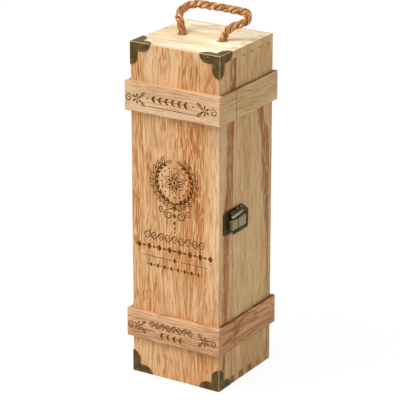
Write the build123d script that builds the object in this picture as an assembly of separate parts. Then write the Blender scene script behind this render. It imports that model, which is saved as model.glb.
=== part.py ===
from build123d import *
import math
import os

# A wooden wine box for one bottle. It stands upright: +Z is up, the lid is the
# front (-Y), the clasp is on the right side (+X) and the hinges on the left.
# The origin is the centre of the carcass's base. All sizes are in millimetres.
#
# The carcass is glued up as one closed box with finger joints, and then a saw
# cuts it into a deep body and a shallow lid, so each side, top and bottom
# board becomes two pieces whose fingers still line up.

# Carcass
box_width = 102.0
box_depth = 100.0
box_height = 350.0
board_thickness = 8.0       # sides, top and bottom
panel_thickness = 5.0       # front and back panels
lid_depth = 25.0            # front face to the saw cut
saw_gap = 0.3               # what stays open between the closed lid and the body
finger_pitch = 17.0
finger_width = 8.5

# Battens round the box
batten_height = 30.0
upper_batten_drop = 38.5    # box top to the upper batten's top edge
lower_batten_rise = 40.5    # base to the lower batten's bottom edge
front_batten_thickness = 6.0
side_batten_thickness = 4.0
back_batten_thickness = 4.0
batten_edge_round = 1.0

# Rope handle
rope_diameter = 7.5
rope_hole_diameter = 9.4
rope_hole_spacing = 46.0
rope_hole_chamfer = 1.0
rope_hole_y = 0.0           # from the middle of the box's depth
knot_diameter = 16.0
knot_height = 13.0
knot_tail_length = 5.0
knot_seat_margin = 1.5      # how far the knot's flat top reaches past the hole
knot_widest_share = 0.42    # where it is widest, down its height
knot_shoulder_lean = 0.35   # how steeply it leaves its flat top
knot_foot_lean = 0.55       # and meets the rope's end

# Corner guards
guard_thickness = 0.8
guard_reach = 22.5          # along the box's width and height
guard_seam_margin = 2.5     # what a guard leaves free beside the saw cut
guard_lobe_width = 8.0
guard_lobe_taper = 8.5      # length of the lobe's curved end
guard_bend_radius = 0.6
guard_nail_along = 14.5     # the nail's place along the horizontal lobe
guard_nail_in = 4.0         # and in from the box's edge

# Nails
nail_radius = 0.6
nail_length = 6.0
nail_head_radius = 1.15
nail_head_height = 0.55
nail_clearance = 0.05

# Butt hinges, on the left ends of the battens
hinge_height = 22.0
hinge_leaf_width = 12.0
hinge_leaf_thickness = 1.0
hinge_knuckle_radius = 2.0
hinge_knuckle_count = 5
hinge_pin_radius = 0.9
hinge_pin_head_radius = 1.35
hinge_pin_head_height = 0.8
hinge_pin_head_round = 0.5
hinge_nail_spacing = 14.0
hinge_nail_inset = 3.2      # from the leaf's free edge

# Clasp, on the right side
clasp_height_up = 177.0     # base to the lid plate's middle
clasp_plate_height = 24.8
clasp_plate_thickness = 0.8
clasp_rim_height = 0.5
clasp_rim_width = 2.2
clasp_corner_radius = 3.0
clasp_lid_margin = 7.0      # front face to the lid plate
clasp_body_plate_width = 27.5
clasp_body_plate_drop = 3.0 # how much lower the body plate reaches
clasp_clip_width = 11.5     # the body plate's clipped corner, along the plate
clasp_clip_height = 8.4
clasp_seam_margin = 0.5     # each plate's distance from the saw cut's middle
block_height = 10.6
block_drop = 2.0            # the blocks' middle below the lid plate's middle
block_rise = 6.3            # how far the blocks stand off the plate
block_taper = 4.0           # degrees
block_edge_round = 0.7
lid_block_width = 10.2
body_block_width = 14.5
flap_thickness = 1.0
flap_width = 22.0
flap_overhang = 10.0        # how far the flap reaches over the lid's plate
flap_axis_up = 11.2         # above the lid plate's middle
flap_reach = 5.7            # pin to rolled lip
flap_slope = 53.0           # degrees below horizontal
flap_lip_radius = 1.1
flap_knuckle_radius = 1.2
flap_pin_radius = 0.6
flap_pin_head_radius = 1.0
flap_pin_head_height = 0.5
flap_ear_width = 2.6
flap_ear_margin = 1.7       # the first ear's distance from the body plate's edge
clasp_nail_inset = 3.5
clasp_back_nail_in = 6.8    # the body plate's upper nail, in from its back edge
clasp_back_nail_up = 3.8    # and up from the lid plate's middle

# Clearances and limits
moving_clearance = 0.3      # between pieces on two sides of a joint
pin_clearance = 0.05        # round a hinge pin
beyond = 1000.0             # farther out than any part of the box
touching = 1e-4             # points nearer than this are the same

# What follows is worked out from the sizes above
right = box_width / 2
left = -right
front = -box_depth / 2
back = box_depth / 2
board_front = front + panel_thickness
board_back = back - panel_thickness
saw_y = front + lid_depth
right_batten = right + side_batten_thickness
left_batten = left - side_batten_thickness
back_batten = back + back_batten_thickness
upper_batten_z = box_height - upper_batten_drop - batten_height / 2
lower_batten_z = lower_batten_rise + batten_height / 2
batten_levels = {"upper": upper_batten_z, "lower": lower_batten_z}
hinge_y = saw_y
hinge_x = left_batten - hinge_knuckle_radius - moving_clearance
hinge_leaf_face = left_batten - hinge_leaf_thickness

# The rope's route: up out of the left hole, leaning back and over in one flat
# arch, round a tight fold beyond the right hole and down into it. Each point
# is given from the mouth of its own hole.
rope_from_left_hole = [
    (0, 0, 2.6),
    (-5.2, 4.0, 11.2),
    (-10.8, 9.4, 17.2),
    (-5.4, 15.6, 24.6),
    (6.5, 18.8, 27.6),
    (22.0, 19.2, 26.8),
]
rope_from_right_hole = [
    (-9.0, 18.8, 27.4),
    (5.0, 19.0, 26.6),
    (16.9, 18.4, 26.7),
    (21.1, 15.0, 23.1),
    (19.9, 10.6, 18.4),
    (10.2, 7.6, 15.0),
    (4.4, 4.4, 11.2),
    (0, 0, 2.4),
]
rope_arc_share = 0.45       # of the shorter run, taken by each arc


def block(x_low, x_high, y_low, y_high, z_low, z_high):
    """A box between the given limits."""
    size = (x_high - x_low, y_high - y_low, z_high - z_low)
    middle = ((x_low + x_high) / 2, (y_low + y_high) / 2, (z_low + z_high) / 2)
    return Pos(*middle) * Box(*size)


def rod(radius, start, along, length):
    """A cylinder from a start point, along +X, -X, +Y, -Y, +Z or -Z."""
    plane = Plane(origin=start, z_dir=along)
    return extrude(plane * Circle(radius), amount=length)


def lid_part(solid):
    """What the saw leaves in front of the cut."""
    return solid & block(-beyond, beyond, -beyond, saw_y - saw_gap / 2, -beyond, beyond)


def body_part(solid):
    """What the saw leaves behind the cut."""
    return solid & block(-beyond, beyond, saw_y + saw_gap / 2, beyond, -beyond, beyond)


# Nails: each is given by the point under its head and the way that it is driven

def guard_nail_places():
    """Front and side nail of each corner guard."""
    places = []
    for side in (-1, 1):
        for z in (guard_nail_in, box_height - guard_nail_in):
            on_front = (side * (right - guard_nail_along), front - guard_thickness, z)
            places.append((on_front, (0, 1, 0)))
            on_side = (side * (right + guard_thickness), front + guard_nail_along, z)
            places.append((on_side, (-side, 0, 0)))
    return places


def hinge_nail_places(side):
    """Two nails in each leaf: side -1 is the lid's leaves, +1 the body's."""
    y = hinge_y + side * (hinge_leaf_width - hinge_nail_inset)
    places = []
    for level in batten_levels.values():
        for step in (-0.5, 0.5):
            z = level + step * hinge_nail_spacing
            places.append(((hinge_leaf_face, y, z), (1, 0, 0)))
    return places


clasp_face = right + clasp_plate_thickness
lid_plate_front = front + clasp_lid_margin
lid_plate_back = saw_y - clasp_seam_margin
body_plate_front = saw_y + clasp_seam_margin
body_plate_back = body_plate_front + clasp_body_plate_width
clasp_bottom = clasp_height_up - clasp_plate_height / 2
clasp_top = clasp_height_up + clasp_plate_height / 2
body_plate_bottom = clasp_bottom - clasp_body_plate_drop


def clasp_lid_nail_places():
    y = lid_plate_front + clasp_nail_inset
    low = clasp_bottom + clasp_nail_inset
    high = clasp_top - clasp_nail_inset
    return [((clasp_face, y, z), (-1, 0, 0)) for z in (low, high)]


def clasp_body_nail_places():
    """Two nails near the lower edge and one beside the clipped corner."""
    low = body_plate_bottom + clasp_nail_inset
    spots = [
        (body_plate_front + clasp_nail_inset, low),
        (body_plate_back - clasp_nail_inset, low),
        (body_plate_back - clasp_back_nail_in, clasp_height_up + clasp_back_nail_up),
    ]
    return [((clasp_face, y, z), (-1, 0, 0)) for y, z in spots]


def nail(place, way):
    """A small nail with a domed head, part of a ball."""
    dome_radius = (nail_head_radius**2 + nail_head_height**2) / (2 * nail_head_height)
    dome = RadiusArc((nail_head_radius, 0), (0, nail_head_height), -dome_radius)
    outline = Polyline(
        (0, nail_head_height),
        (0, -nail_length),
        (nail_radius, -nail_length + nail_radius),
        (nail_radius, 0),
        (nail_head_radius, 0),
    )
    turned = revolve(Plane.XZ * make_face([*outline.edges(), dome]), Axis.Z)
    return Plane(origin=place, z_dir=Vector(way) * -1) * turned


def nails(places):
    return Compound(children=[nail(place, way) for place, way in places])


def drilled(solid, places):
    """The solid with a pilot hole for each nail."""
    for place, way in places:
        radius = nail_radius + nail_clearance
        solid -= rod(radius, place, way, nail_length + nail_clearance)
    return solid


lid_nail_places = guard_nail_places() + hinge_nail_places(-1) + clasp_lid_nail_places()
body_nail_places = hinge_nail_places(1) + clasp_body_nail_places()


# Carcass

def finger_starts():
    """Where each finger of the top and bottom boards begins, front to back."""
    count = math.ceil((board_back - board_front) / finger_pitch)
    return [board_front + k * finger_pitch for k in range(count)]


def fingers(x_low, x_high, z_low, z_high):
    """The stretches of one corner that belong to the top or bottom board."""
    teeth = Part()
    for start in finger_starts():
        end = min(start + finger_width, board_back)
        teeth += block(x_low, x_high, start, end, z_low, z_high)
    return teeth


def side_board(side):
    """A whole side board, with sockets for the fingers of the boards it meets."""
    x_low, x_high = sorted((side * right, side * (right - board_thickness)))
    board = block(x_low, x_high, board_front, board_back, 0, box_height)
    board -= fingers(x_low, x_high, 0, board_thickness)
    board -= fingers(x_low, x_high, box_height - board_thickness, box_height)
    return board


def end_board(z_low):
    """A whole top or bottom board, with fingers at its left and right ends."""
    z_high = z_low + board_thickness
    inner = right - board_thickness
    board = block(-inner, inner, board_front, board_back, z_low, z_high)
    board += fingers(-right, -inner, z_low, z_high)
    board += fingers(inner, right, z_low, z_high)
    return board


def rope_holes(solid):
    """Two holes for the rope, eased at the top."""
    for side in (-1, 1):
        mouth = (side * rope_hole_spacing / 2, rope_hole_y, box_height)
        solid -= rod(rope_hole_diameter / 2, mouth, (0, 0, -1), board_thickness)
        wide = rope_hole_diameter / 2 + rope_hole_chamfer
        ease = Cone(rope_hole_diameter / 2, wide, rope_hole_chamfer)
        solid -= Pos(mouth[0], mouth[1], box_height - rope_hole_chamfer / 2) * ease
    return solid


def panel(y_low):
    return block(left, right, y_low, y_low + panel_thickness, 0, box_height)


# Battens

def front_batten(level):
    """Runs across the front and covers the front ends of the side battens."""
    low, high = level - batten_height / 2, level + batten_height / 2
    bar = block(left_batten, right_batten, front - front_batten_thickness, front, low, high)
    return fillet(bar.faces().sort_by(Axis.Y)[0].edges(), batten_edge_round)


def side_batten(side, level):
    """A whole side batten, which also covers the end of the back batten."""
    low, high = level - batten_height / 2, level + batten_height / 2
    x_low, x_high = sorted((side * right, side * right_batten))
    bar = block(x_low, x_high, front, back_batten, low, high)
    outer = bar.faces().sort_by(Axis.X)[-1 if side > 0 else 0]
    free = [e for e in outer.edges() if e.center().Y > front + batten_edge_round]
    return fillet(free, batten_edge_round)


def back_batten_bar(level):
    low, high = level - batten_height / 2, level + batten_height / 2
    bar = block(left, right, back, back_batten, low, high)
    outer = bar.faces().sort_by(Axis.Y)[-1]
    return fillet(outer.edges().filter_by(Axis.X), batten_edge_round)


# Corner guards

def guard_face(reach_u, reach_v):
    """One flange: two lobes along the box's edges, each ending in a quarter ellipse."""
    edge = -guard_thickness
    width = guard_lobe_width
    taper = guard_lobe_taper
    outline = [
        Polyline((0, reach_v), (edge, reach_v), (edge, edge), (reach_u, edge), (reach_u, 0)),
        EllipticalCenterArc((reach_u - taper, 0), taper, width, 0, arc_size=90),
        Polyline((reach_u - taper, width), (width, width), (width, reach_v - taper)),
        EllipticalCenterArc((0, reach_v - taper), width, taper, 0, arc_size=90),
    ]
    edges = [edge for line in outline for edge in line.edges()]
    return make_face(edges)


def guard_shape():
    """A guard for a corner whose three edges run along +X, +Y and +Z."""
    reach_y = lid_depth - guard_seam_margin
    front_plane = Plane((0, 0, 0), x_dir=(1, 0, 0), z_dir=(0, -1, 0))
    side_plane = Plane((0, 0, 0), x_dir=(0, 1, 0), z_dir=(1, 0, 0))
    cap_plane = Plane.XY
    shape = extrude(front_plane * guard_face(guard_reach, guard_reach), amount=guard_thickness)
    shape += extrude(side_plane * guard_face(reach_y, guard_reach), amount=-guard_thickness)
    shape += extrude(cap_plane * guard_face(guard_reach, reach_y), amount=-guard_thickness)
    corner = Vector(-guard_thickness, -guard_thickness, -guard_thickness)
    bends = [e for e in shape.edges() if min((v.center() - corner).length for v in e.vertices()) < touching]
    return fillet(bends, guard_bend_radius)


def guard(side, is_upper):
    """The guard at one corner of the lid. A lower guard's cap lies inside the wood."""
    shape = guard_shape()
    if side > 0:
        shape = mirror(shape, Plane.YZ)
    if is_upper:
        shape = mirror(shape, Plane.XY)
    z = box_height if is_upper else guard_thickness
    shape = Pos(side * right, front, z) * shape
    return drilled(shape, guard_nail_places())


guard_corners = {
    "upper_left": (-1, True),
    "upper_right": (1, True),
    "lower_left": (-1, False),
    "lower_right": (1, False),
}


def housed(solid, guards):
    """The wood with the flush beds of the two lower guards' caps."""
    for name in ("lower_left", "lower_right"):
        solid -= guards[name]
    return solid


# Hinges

def knuckle_span(index, level):
    """Bottom and top of one knuckle."""
    pitch = hinge_height / hinge_knuckle_count
    low = level - hinge_height / 2 + index * pitch
    trim = moving_clearance / 2
    bottom = low + (0 if index == 0 else trim)
    top = low + pitch - (0 if index == hinge_knuckle_count - 1 else trim)
    return bottom, top


def hinge_leaf(side, level):
    """A leaf with its knuckles: side -1 is on the lid, +1 on the body."""
    low, high = level - hinge_height / 2, level + hinge_height / 2
    y_low, y_high = sorted((hinge_y + side * saw_gap / 2, hinge_y + side * hinge_leaf_width))
    leaf = block(hinge_leaf_face, left_batten, y_low, y_high, low, high)
    corners = leaf.edges().filter_by(Axis.X).group_by(Axis.Y)[-1 if side > 0 else 0]
    leaf = fillet(corners, hinge_leaf_thickness)
    keep_off = hinge_knuckle_radius + moving_clearance
    own = range(0 if side > 0 else 1, hinge_knuckle_count, 2)
    for index in range(hinge_knuckle_count):
        bottom, top = knuckle_span(index, level)
        if index in own:
            leaf += rod(hinge_knuckle_radius, (hinge_x, hinge_y, bottom), (0, 0, 1), top - bottom)
        else:
            room = moving_clearance
            height = top - bottom + 2 * room
            leaf -= rod(keep_off, (hinge_x, hinge_y, bottom - room), (0, 0, 1), height)
    bore = hinge_pin_radius + pin_clearance
    leaf -= rod(bore, (hinge_x, hinge_y, low), (0, 0, 1), hinge_height)
    return drilled(leaf, hinge_nail_places(side))


def hinge_pin(level):
    """A pin with a head at each end, resting on the body leaf's outer knuckles."""
    low = level - hinge_height / 2
    pin = rod(hinge_pin_radius, (hinge_x, hinge_y, low), (0, 0, 1), hinge_height)
    for z, way in ((low, -1), (low + hinge_height, 1)):
        head = rod(hinge_pin_head_radius, (hinge_x, hinge_y, z), (0, 0, way), hinge_pin_head_height)
        rim = head.edges().sort_by(Axis.Z)[-1 if way > 0 else 0]
        pin += fillet(rim, hinge_pin_head_round)
    return pin


# Clasp

flap_axis_x = clasp_face + clasp_rim_height + flap_knuckle_radius + moving_clearance
flap_axis_z = clasp_height_up + flap_axis_up
flap_front = saw_y - flap_overhang
flap_back = flap_front + flap_width
ear_spans = [
    (body_plate_front + flap_ear_margin, body_plate_front + flap_ear_margin + flap_ear_width),
    (flap_back - flap_ear_width, flap_back),
]
flap_knuckle = (ear_spans[0][1] + moving_clearance, ear_spans[1][0] - moving_clearance)


def clasp_plate(corners, side):
    """A plate with a rim round its outer edges. It is given by its corners, as y and z, the first and
    the last at the saw cut; those between are rounded. Side -1 is the lid's plate, +1 the body's."""
    points = [Vector(right, y, z) for y, z in corners]
    sheet = make_face(Polyline(*points, close=True))
    outer = [v for v in sheet.vertices() if any((v.center() - p).length < touching for p in points[1:-1])]
    sheet = fillet(outer, clasp_corner_radius)
    inside = offset(sheet, amount=-clasp_rim_width)
    height = clasp_plate_thickness + clasp_rim_height
    plate = extrude(sheet, amount=height, dir=(1, 0, 0))
    recess = extrude(inside, amount=height, dir=(1, 0, 0))
    for to_saw in (0, -side * clasp_rim_width):
        plate -= Pos(clasp_plate_thickness, to_saw, 0) * recess
    return plate


def clasp_block(y_low, y_high):
    """The raised, slightly tapered block on a plate."""
    centre = (clasp_face, (y_low + y_high) / 2, clasp_height_up - block_drop)
    base = Plane(centre, x_dir=(0, 1, 0), z_dir=(1, 0, 0))
    footprint = base * Rectangle(y_high - y_low, block_height)
    solid = extrude(footprint, amount=block_rise, taper=block_taper)
    outer = solid.faces().sort_by(Axis.X)[-1]
    return fillet(outer.edges(), block_edge_round)


def clasp_lid_plate():
    corners = [
        (lid_plate_back, clasp_bottom),
        (lid_plate_front, clasp_bottom),
        (lid_plate_front, clasp_top),
        (lid_plate_back, clasp_top),
    ]
    plate = clasp_plate(corners, -1)
    plate += clasp_block(lid_plate_back - lid_block_width, lid_plate_back)
    return drilled(plate, clasp_lid_nail_places())


def clasp_body_plate():
    """The body's plate, with its block and the two ears that hold the flap's pin."""
    corners = [
        (body_plate_front, body_plate_bottom),
        (body_plate_back, body_plate_bottom),
        (body_plate_back, clasp_top - clasp_clip_height),
        (body_plate_back - clasp_clip_width, clasp_top),
        (body_plate_front, clasp_top),
    ]
    plate = clasp_plate(corners, 1)
    plate += clasp_block(body_plate_front, body_plate_front + body_block_width)
    for y_low, y_high in ear_spans:
        centre = (flap_axis_x, y_low, flap_axis_z)
        plate += rod(flap_knuckle_radius, centre, (0, 1, 0), flap_ear_width)
        low, high = flap_axis_z - flap_knuckle_radius, flap_axis_z + flap_knuckle_radius
        plate += block(clasp_face, flap_axis_x, y_low, y_high, low, high)
    bore = flap_pin_radius + pin_clearance
    length = flap_back - ear_spans[0][0]
    plate -= rod(bore, (flap_axis_x, ear_spans[0][0], flap_axis_z), (0, 1, 0), length)
    return drilled(plate, clasp_body_nail_places())


def clasp_flap():
    """A sloping flap on a knuckle, with a rolled lip along its lower edge."""
    slope = math.radians(flap_slope)
    lip_x = flap_axis_x + flap_reach * math.cos(slope)
    lip_z = flap_axis_z - flap_reach * math.sin(slope)
    sheet = block(0, flap_reach, flap_front, flap_back, -flap_thickness / 2, flap_thickness / 2)
    flap = Pos(flap_axis_x, 0, flap_axis_z) * Rot(0, flap_slope, 0) * sheet
    flap += rod(flap_lip_radius, (lip_x, flap_front, lip_z), (0, 1, 0), flap_width)
    keep_off = flap_knuckle_radius + moving_clearance
    end_room = {0: flap_pin_head_height + moving_clearance, 1: moving_clearance}
    for index, (y_low, y_high) in enumerate(ear_spans):
        start = (flap_axis_x, y_low - end_room[index], flap_axis_z)
        room = end_room[index] + y_high - y_low + moving_clearance
        flap -= rod(keep_off, start, (0, 1, 0), room)
    y_low, y_high = flap_knuckle
    flap += rod(flap_knuckle_radius, (flap_axis_x, y_low, flap_axis_z), (0, 1, 0), y_high - y_low)
    bore = flap_pin_radius + pin_clearance
    return flap - rod(bore, (flap_axis_x, flap_front, flap_axis_z), (0, 1, 0), flap_width)


def flap_pin():
    """The flap's pin, with a head outside each ear."""
    low, high = ear_spans[0][0], ear_spans[1][1]
    pin = rod(flap_pin_radius, (flap_axis_x, low, flap_axis_z), (0, 1, 0), high - low)
    for y, way in ((low, -1), (high, 1)):
        start = (flap_axis_x, y, flap_axis_z)
        pin += rod(flap_pin_head_radius, start, (0, way, 0), flap_pin_head_height)
    return pin


# Rope

def rope_route():
    """The route's points, from one knot's top to the other's."""
    under = (0, 0, -board_thickness)
    points = []
    for side, offsets in ((-1, [under, *rope_from_left_hole]), (1, [*rope_from_right_hole, under])):
        for x, y, z in offsets:
            mouth = (side * rope_hole_spacing / 2, rope_hole_y, box_height)
            points.append(Vector(mouth[0] + x, mouth[1] + y, mouth[2] + z))
    return points


def arc_radii(points):
    """Each corner's arc radius, as large as its two runs allow."""
    radii = []
    for before, corner, after in zip(points, points[1:], points[2:]):
        run_in, run_out = corner - before, after - corner
        half_turn = math.radians(run_in.get_angle(run_out) / 2)
        shorter = min(run_in.length, run_out.length)
        radii.append(rope_arc_share * shorter / math.tan(half_turn))
    return radii


def rope():
    points = rope_route()
    radii = arc_radii(points)
    path = FilletPolyline(*points, radius=radii)
    section = Plane(origin=path @ 0, z_dir=path % 0) * Circle(rope_diameter / 2)
    tube = sweep(section, path=path)
    area = math.pi * rope_diameter**2 / 4
    print("rope arc radii, mm:", [round(r, 1) for r in radii])
    print("rope length", round(path.length, 1), "volume over section x length",
          round(tube.volume / (area * path.length), 4))
    return tube


def rope_knot(side):
    """A stopper knot: a drawn-up ball under the board with the rope's end below it."""
    half = knot_diameter / 2
    seat = rope_hole_diameter / 2 + knot_seat_margin
    tail = rope_diameter / 2
    shoulder = Spline(
        (seat, 0),
        (half, -knot_height * knot_widest_share),
        (tail, -knot_height),
        tangents=[(1, -knot_shoulder_lean), (-1, -knot_foot_lean)],
    )
    rest = Polyline(
        (tail, -knot_height),
        (tail, -knot_height - knot_tail_length),
        (0, -knot_height - knot_tail_length),
        (0, 0),
        (seat, 0),
    )
    face = Plane.XZ * make_face([*shoulder.edges(), *rest.edges()])
    under = box_height - board_thickness
    return Pos(side * rope_hole_spacing / 2, rope_hole_y, under) * revolve(face, Axis.Z)


def build_nodes():
    nodes = {}
    guards = {name: guard(*place) for name, place in guard_corners.items()}

    def lid_wood(solid):
        return drilled(housed(lid_part(solid), guards), lid_nail_places)

    def body_wood(solid):
        return drilled(body_part(solid), body_nail_places)

    for name, side in (("left", -1), ("right", 1)):
        board = side_board(side)
        nodes[f"side_board_{name}"] = body_wood(board)
        nodes[f"lid_side_rail_{name}"] = lid_wood(board)
        for level_name, level in batten_levels.items():
            bar = side_batten(side, level)
            nodes[f"{level_name}_side_batten_{name}"] = body_wood(bar)
            nodes[f"lid_{level_name}_side_batten_{name}"] = lid_wood(bar)
    top = end_board(box_height - board_thickness)
    bottom = end_board(0)
    nodes["top_board"] = rope_holes(body_part(top))
    nodes["lid_top_rail"] = lid_wood(top)
    nodes["bottom_board"] = body_part(bottom)
    nodes["lid_bottom_rail"] = lid_wood(bottom)
    nodes["back_panel"] = panel(board_back)
    nodes["front_panel"] = lid_wood(panel(front))
    for level_name, level in batten_levels.items():
        nodes[f"{level_name}_front_batten"] = front_batten(level)
        nodes[f"{level_name}_back_batten"] = back_batten_bar(level)
        nodes[f"{level_name}_hinge_body_leaf"] = hinge_leaf(1, level)
        nodes[f"{level_name}_hinge_lid_leaf"] = hinge_leaf(-1, level)
        nodes[f"{level_name}_hinge_pin"] = hinge_pin(level)
    for name, shape in guards.items():
        nodes[f"corner_guard_{name}"] = shape
    nodes["corner_guard_nails"] = nails(guard_nail_places())
    nodes["hinge_nails_lid"] = nails(hinge_nail_places(-1))
    nodes["hinge_nails_body"] = nails(hinge_nail_places(1))
    nodes["clasp_lid_plate"] = clasp_lid_plate()
    nodes["clasp_body_plate"] = clasp_body_plate()
    nodes["clasp_flap"] = clasp_flap()
    nodes["clasp_flap_pin"] = flap_pin()
    nodes["clasp_nails_lid"] = nails(clasp_lid_nail_places())
    nodes["clasp_nails_body"] = nails(clasp_body_nail_places())
    nodes["rope_handle"] = rope()
    nodes["rope_knot_left"] = rope_knot(-1)
    nodes["rope_knot_right"] = rope_knot(1)
    return nodes


os.makedirs("parts", exist_ok=True)
for node_name, shape in build_nodes().items():
    export_step(shape, f"parts/{node_name}.step")
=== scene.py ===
import math
from functools import partial, reduce

import bpy
import numpy as np
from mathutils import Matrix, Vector


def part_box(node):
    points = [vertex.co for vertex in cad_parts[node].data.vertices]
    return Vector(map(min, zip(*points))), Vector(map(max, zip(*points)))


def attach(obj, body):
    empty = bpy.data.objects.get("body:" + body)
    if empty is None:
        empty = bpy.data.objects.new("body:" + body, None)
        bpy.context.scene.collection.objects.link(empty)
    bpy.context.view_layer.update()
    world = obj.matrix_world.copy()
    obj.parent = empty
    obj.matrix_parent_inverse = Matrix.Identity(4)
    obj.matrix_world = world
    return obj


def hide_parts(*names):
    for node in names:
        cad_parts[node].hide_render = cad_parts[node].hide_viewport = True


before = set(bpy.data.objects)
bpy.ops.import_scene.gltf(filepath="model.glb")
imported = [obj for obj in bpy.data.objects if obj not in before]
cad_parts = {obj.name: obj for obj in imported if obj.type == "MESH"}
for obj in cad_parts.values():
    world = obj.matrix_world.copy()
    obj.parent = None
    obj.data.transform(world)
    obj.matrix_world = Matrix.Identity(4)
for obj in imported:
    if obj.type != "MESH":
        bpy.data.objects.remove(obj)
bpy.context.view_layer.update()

# The finish of a wooden wine box: sawn softwood, a burnt ornament, bronze
# fittings and a three-strand rope handle. Sizes are in millimetres where a
# name or a comment says so, and otherwise in metres, as the frame is.
MM = 0.001


# -------------------------------- shader nodes

def tone(red, green, blue):
    """A colour as a screen shows it, 0 to 255 each, as the shader's linear light."""
    seen = np.array((red, green, blue)) / 255.0
    linear = np.where(seen <= 0.04045, seen / 12.92, ((seen + 0.055) / 1.055) ** 2.4)
    return (*(float(c) for c in linear), 1.0)


class Nodes:
    """A tree of shader nodes that is built up step by step. Most methods give back a node's output. What
    they work on is an output, or a plain number, vector or colour."""

    def __init__(self, tree):
        self.tree = tree

    def feed(self, socket, value):
        """Links an output to a socket, or sets the socket to a plain number, vector or colour."""
        if isinstance(value, bpy.types.NodeSocket):
            self.tree.links.new(value, socket)
        else:
            socket.default_value = value

    def add(self, kind, inputs=None, **settings):
        """A new node with these settings, and with what its inputs get, by their name or number."""
        node = self.tree.nodes.new(kind)
        for key, value in settings.items():
            setattr(node, key, value)
        for key, value in (inputs or {}).items():
            self.feed(node.inputs[key], value)
        return node

    def place(self):
        """Where a point is on its own piece, in millimetres."""
        per_metre = 1 / MM
        where = self.add("ShaderNodeTexCoord").outputs["Object"]
        return self.mapped(where, scale=(per_metre, per_metre, per_metre))

    def facing(self):
        """The surface's direction on the piece itself."""
        return self.add("ShaderNodeTexCoord").outputs["Normal"]

    def attribute(self, name, output="Vector"):
        return self.add("ShaderNodeAttribute", attribute_name=name).outputs[output]

    def mapped(self, vector, scale=(1, 1, 1), turn=(0, 0, 0), shift=(0, 0, 0)):
        """A vector scaled, then turned by these angles in radians, then shifted."""
        inputs = {"Vector": vector, "Scale": scale, "Rotation": turn, "Location": shift}
        return self.add("ShaderNodeMapping", inputs).outputs[0]

    def noise(self, vector, scale, detail=2.0, roughness=0.5, shift=(0, 0, 0), output="Fac"):
        """Soft noise round one half. Along each axis, a larger scale makes smaller blotches."""
        spot = self.mapped(vector, scale=scale, shift=shift)
        inputs = {"Vector": spot, "Scale": 1.0, "Detail": detail, "Roughness": roughness}
        return self.add("ShaderNodeTexNoise", inputs).outputs[output]

    def math(self, operation, a, b=0.0):
        return self.add("ShaderNodeMath", {0: a, 1: b}, operation=operation).outputs[0]

    def vector(self, operation, a, b=(0.0, 0.0, 0.0), output="Vector"):
        return self.add("ShaderNodeVectorMath", {0: a, 1: b}, operation=operation).outputs[output]

    def part(self, vector, axis):
        """One coordinate of a vector, X, Y or Z."""
        return self.add("ShaderNodeSeparateXYZ", {0: vector}).outputs[axis]

    def phase(self, value, period):
        """How far a value is through its period: the fraction of (value / period)."""
        return self.math("FRACT", self.math("DIVIDE", value, period))

    def rise(self, value, low, high):
        """0 below low and 1 above high, smooth between. With low above high it falls instead."""
        inputs = {"Value": value, "From Min": low, "From Max": high}
        return self.add("ShaderNodeMapRange", inputs, interpolation_type="SMOOTHSTEP").outputs["Result"]

    def between(self, value, low, high, soft):
        """1 from low to high and 0 outside, each end smooth over this much."""
        start = self.rise(value, low - soft, low + soft)
        return self.times(start, self.rise(value, high + soft, high - soft))

    def graph(self, value, span, points):
        """A value read off a smooth line through points that run from one end of the span to the other,
        each given by where and how much."""
        low, high = span
        ramp = self.add("ShaderNodeMapRange", {"Value": value, "From Min": low, "From Max": high})
        node = self.add("ShaderNodeFloatCurve", {"Value": ramp.outputs["Result"]})
        most = max(amount for _, amount in points)
        line = node.mapping.curves[0].points
        while len(line) < len(points):
            line.new(0.5, 0.5)
        for dot, (where, amount) in zip(line, points):
            dot.location = ((where - low) / (high - low), amount / most)
        node.mapping.update()
        return self.times(node.outputs[0], most)

    def times(self, *values):
        return reduce(partial(self.math, "MULTIPLY"), values)

    def plus(self, *values):
        return reduce(partial(self.math, "ADD"), values)

    def minus(self, a, b):
        return self.math("SUBTRACT", a, b)

    def blend(self, amount, a, b):
        """Colour a where the amount is 0 and b where it is 1."""
        return self.add("ShaderNodeMix", {"Factor": amount, 6: a, 7: b}, data_type="RGBA").outputs[2]

    def coat(self, colour, over, *amounts):
        """A colour with another laid over it, by the product of the amounts."""
        return self.blend(self.times(*amounts), colour, over)


class Finish(Nodes):
    """A material's nodes, round its shader. What is the same all over is set on the shader itself."""

    def __init__(self, name, roughness, specular, metallic=0.0):
        self.material = bpy.data.materials.new(name)
        self.material.use_nodes = True
        super().__init__(self.material.node_tree)
        self.shader = self.tree.nodes["Principled BSDF"]
        self.shader.inputs["Roughness"].default_value = roughness
        self.shader.inputs["Specular IOR Level"].default_value = specular
        self.shader.inputs["Metallic"].default_value = metallic

    def bevelled(self, radius, samples):
        """The surface's direction, with its edges rounded off at this radius in metres."""
        return self.add("ShaderNodeBevel", {"Radius": radius}, samples=samples).outputs[0]

    def done(self, colour, height, depth, roughness=None, normal=None):
        """Sets the shader's colour, roughness and bump: height 0 to 1 becomes this depth in metres, on top
        of the direction normal."""
        self.feed(self.shader.inputs["Base Color"], colour)
        if roughness is not None:
            self.feed(self.shader.inputs["Roughness"], roughness)
        bump = self.add("ShaderNodeBump", {"Distance": depth, "Height": height})
        if normal is not None:
            self.feed(bump.inputs["Normal"], normal)
        self.feed(self.shader.inputs["Normal"], bump.outputs[0])
        return self.material


# -------------------------------- camera, light

VIEW_AZIMUTH = math.radians(32.163)
VIEW_ELEVATION = math.radians(20.057)
VIEW_DISTANCE = 2.2148
VIEW_LENS = 198.06          # focal length in mm, for a picture 36 mm wide
VIEW_ASIDE = -0.00217       # how far the aimed point lies right of the box's middle
VIEW_HEIGHT = 0.1802        # and how high it lies


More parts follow.
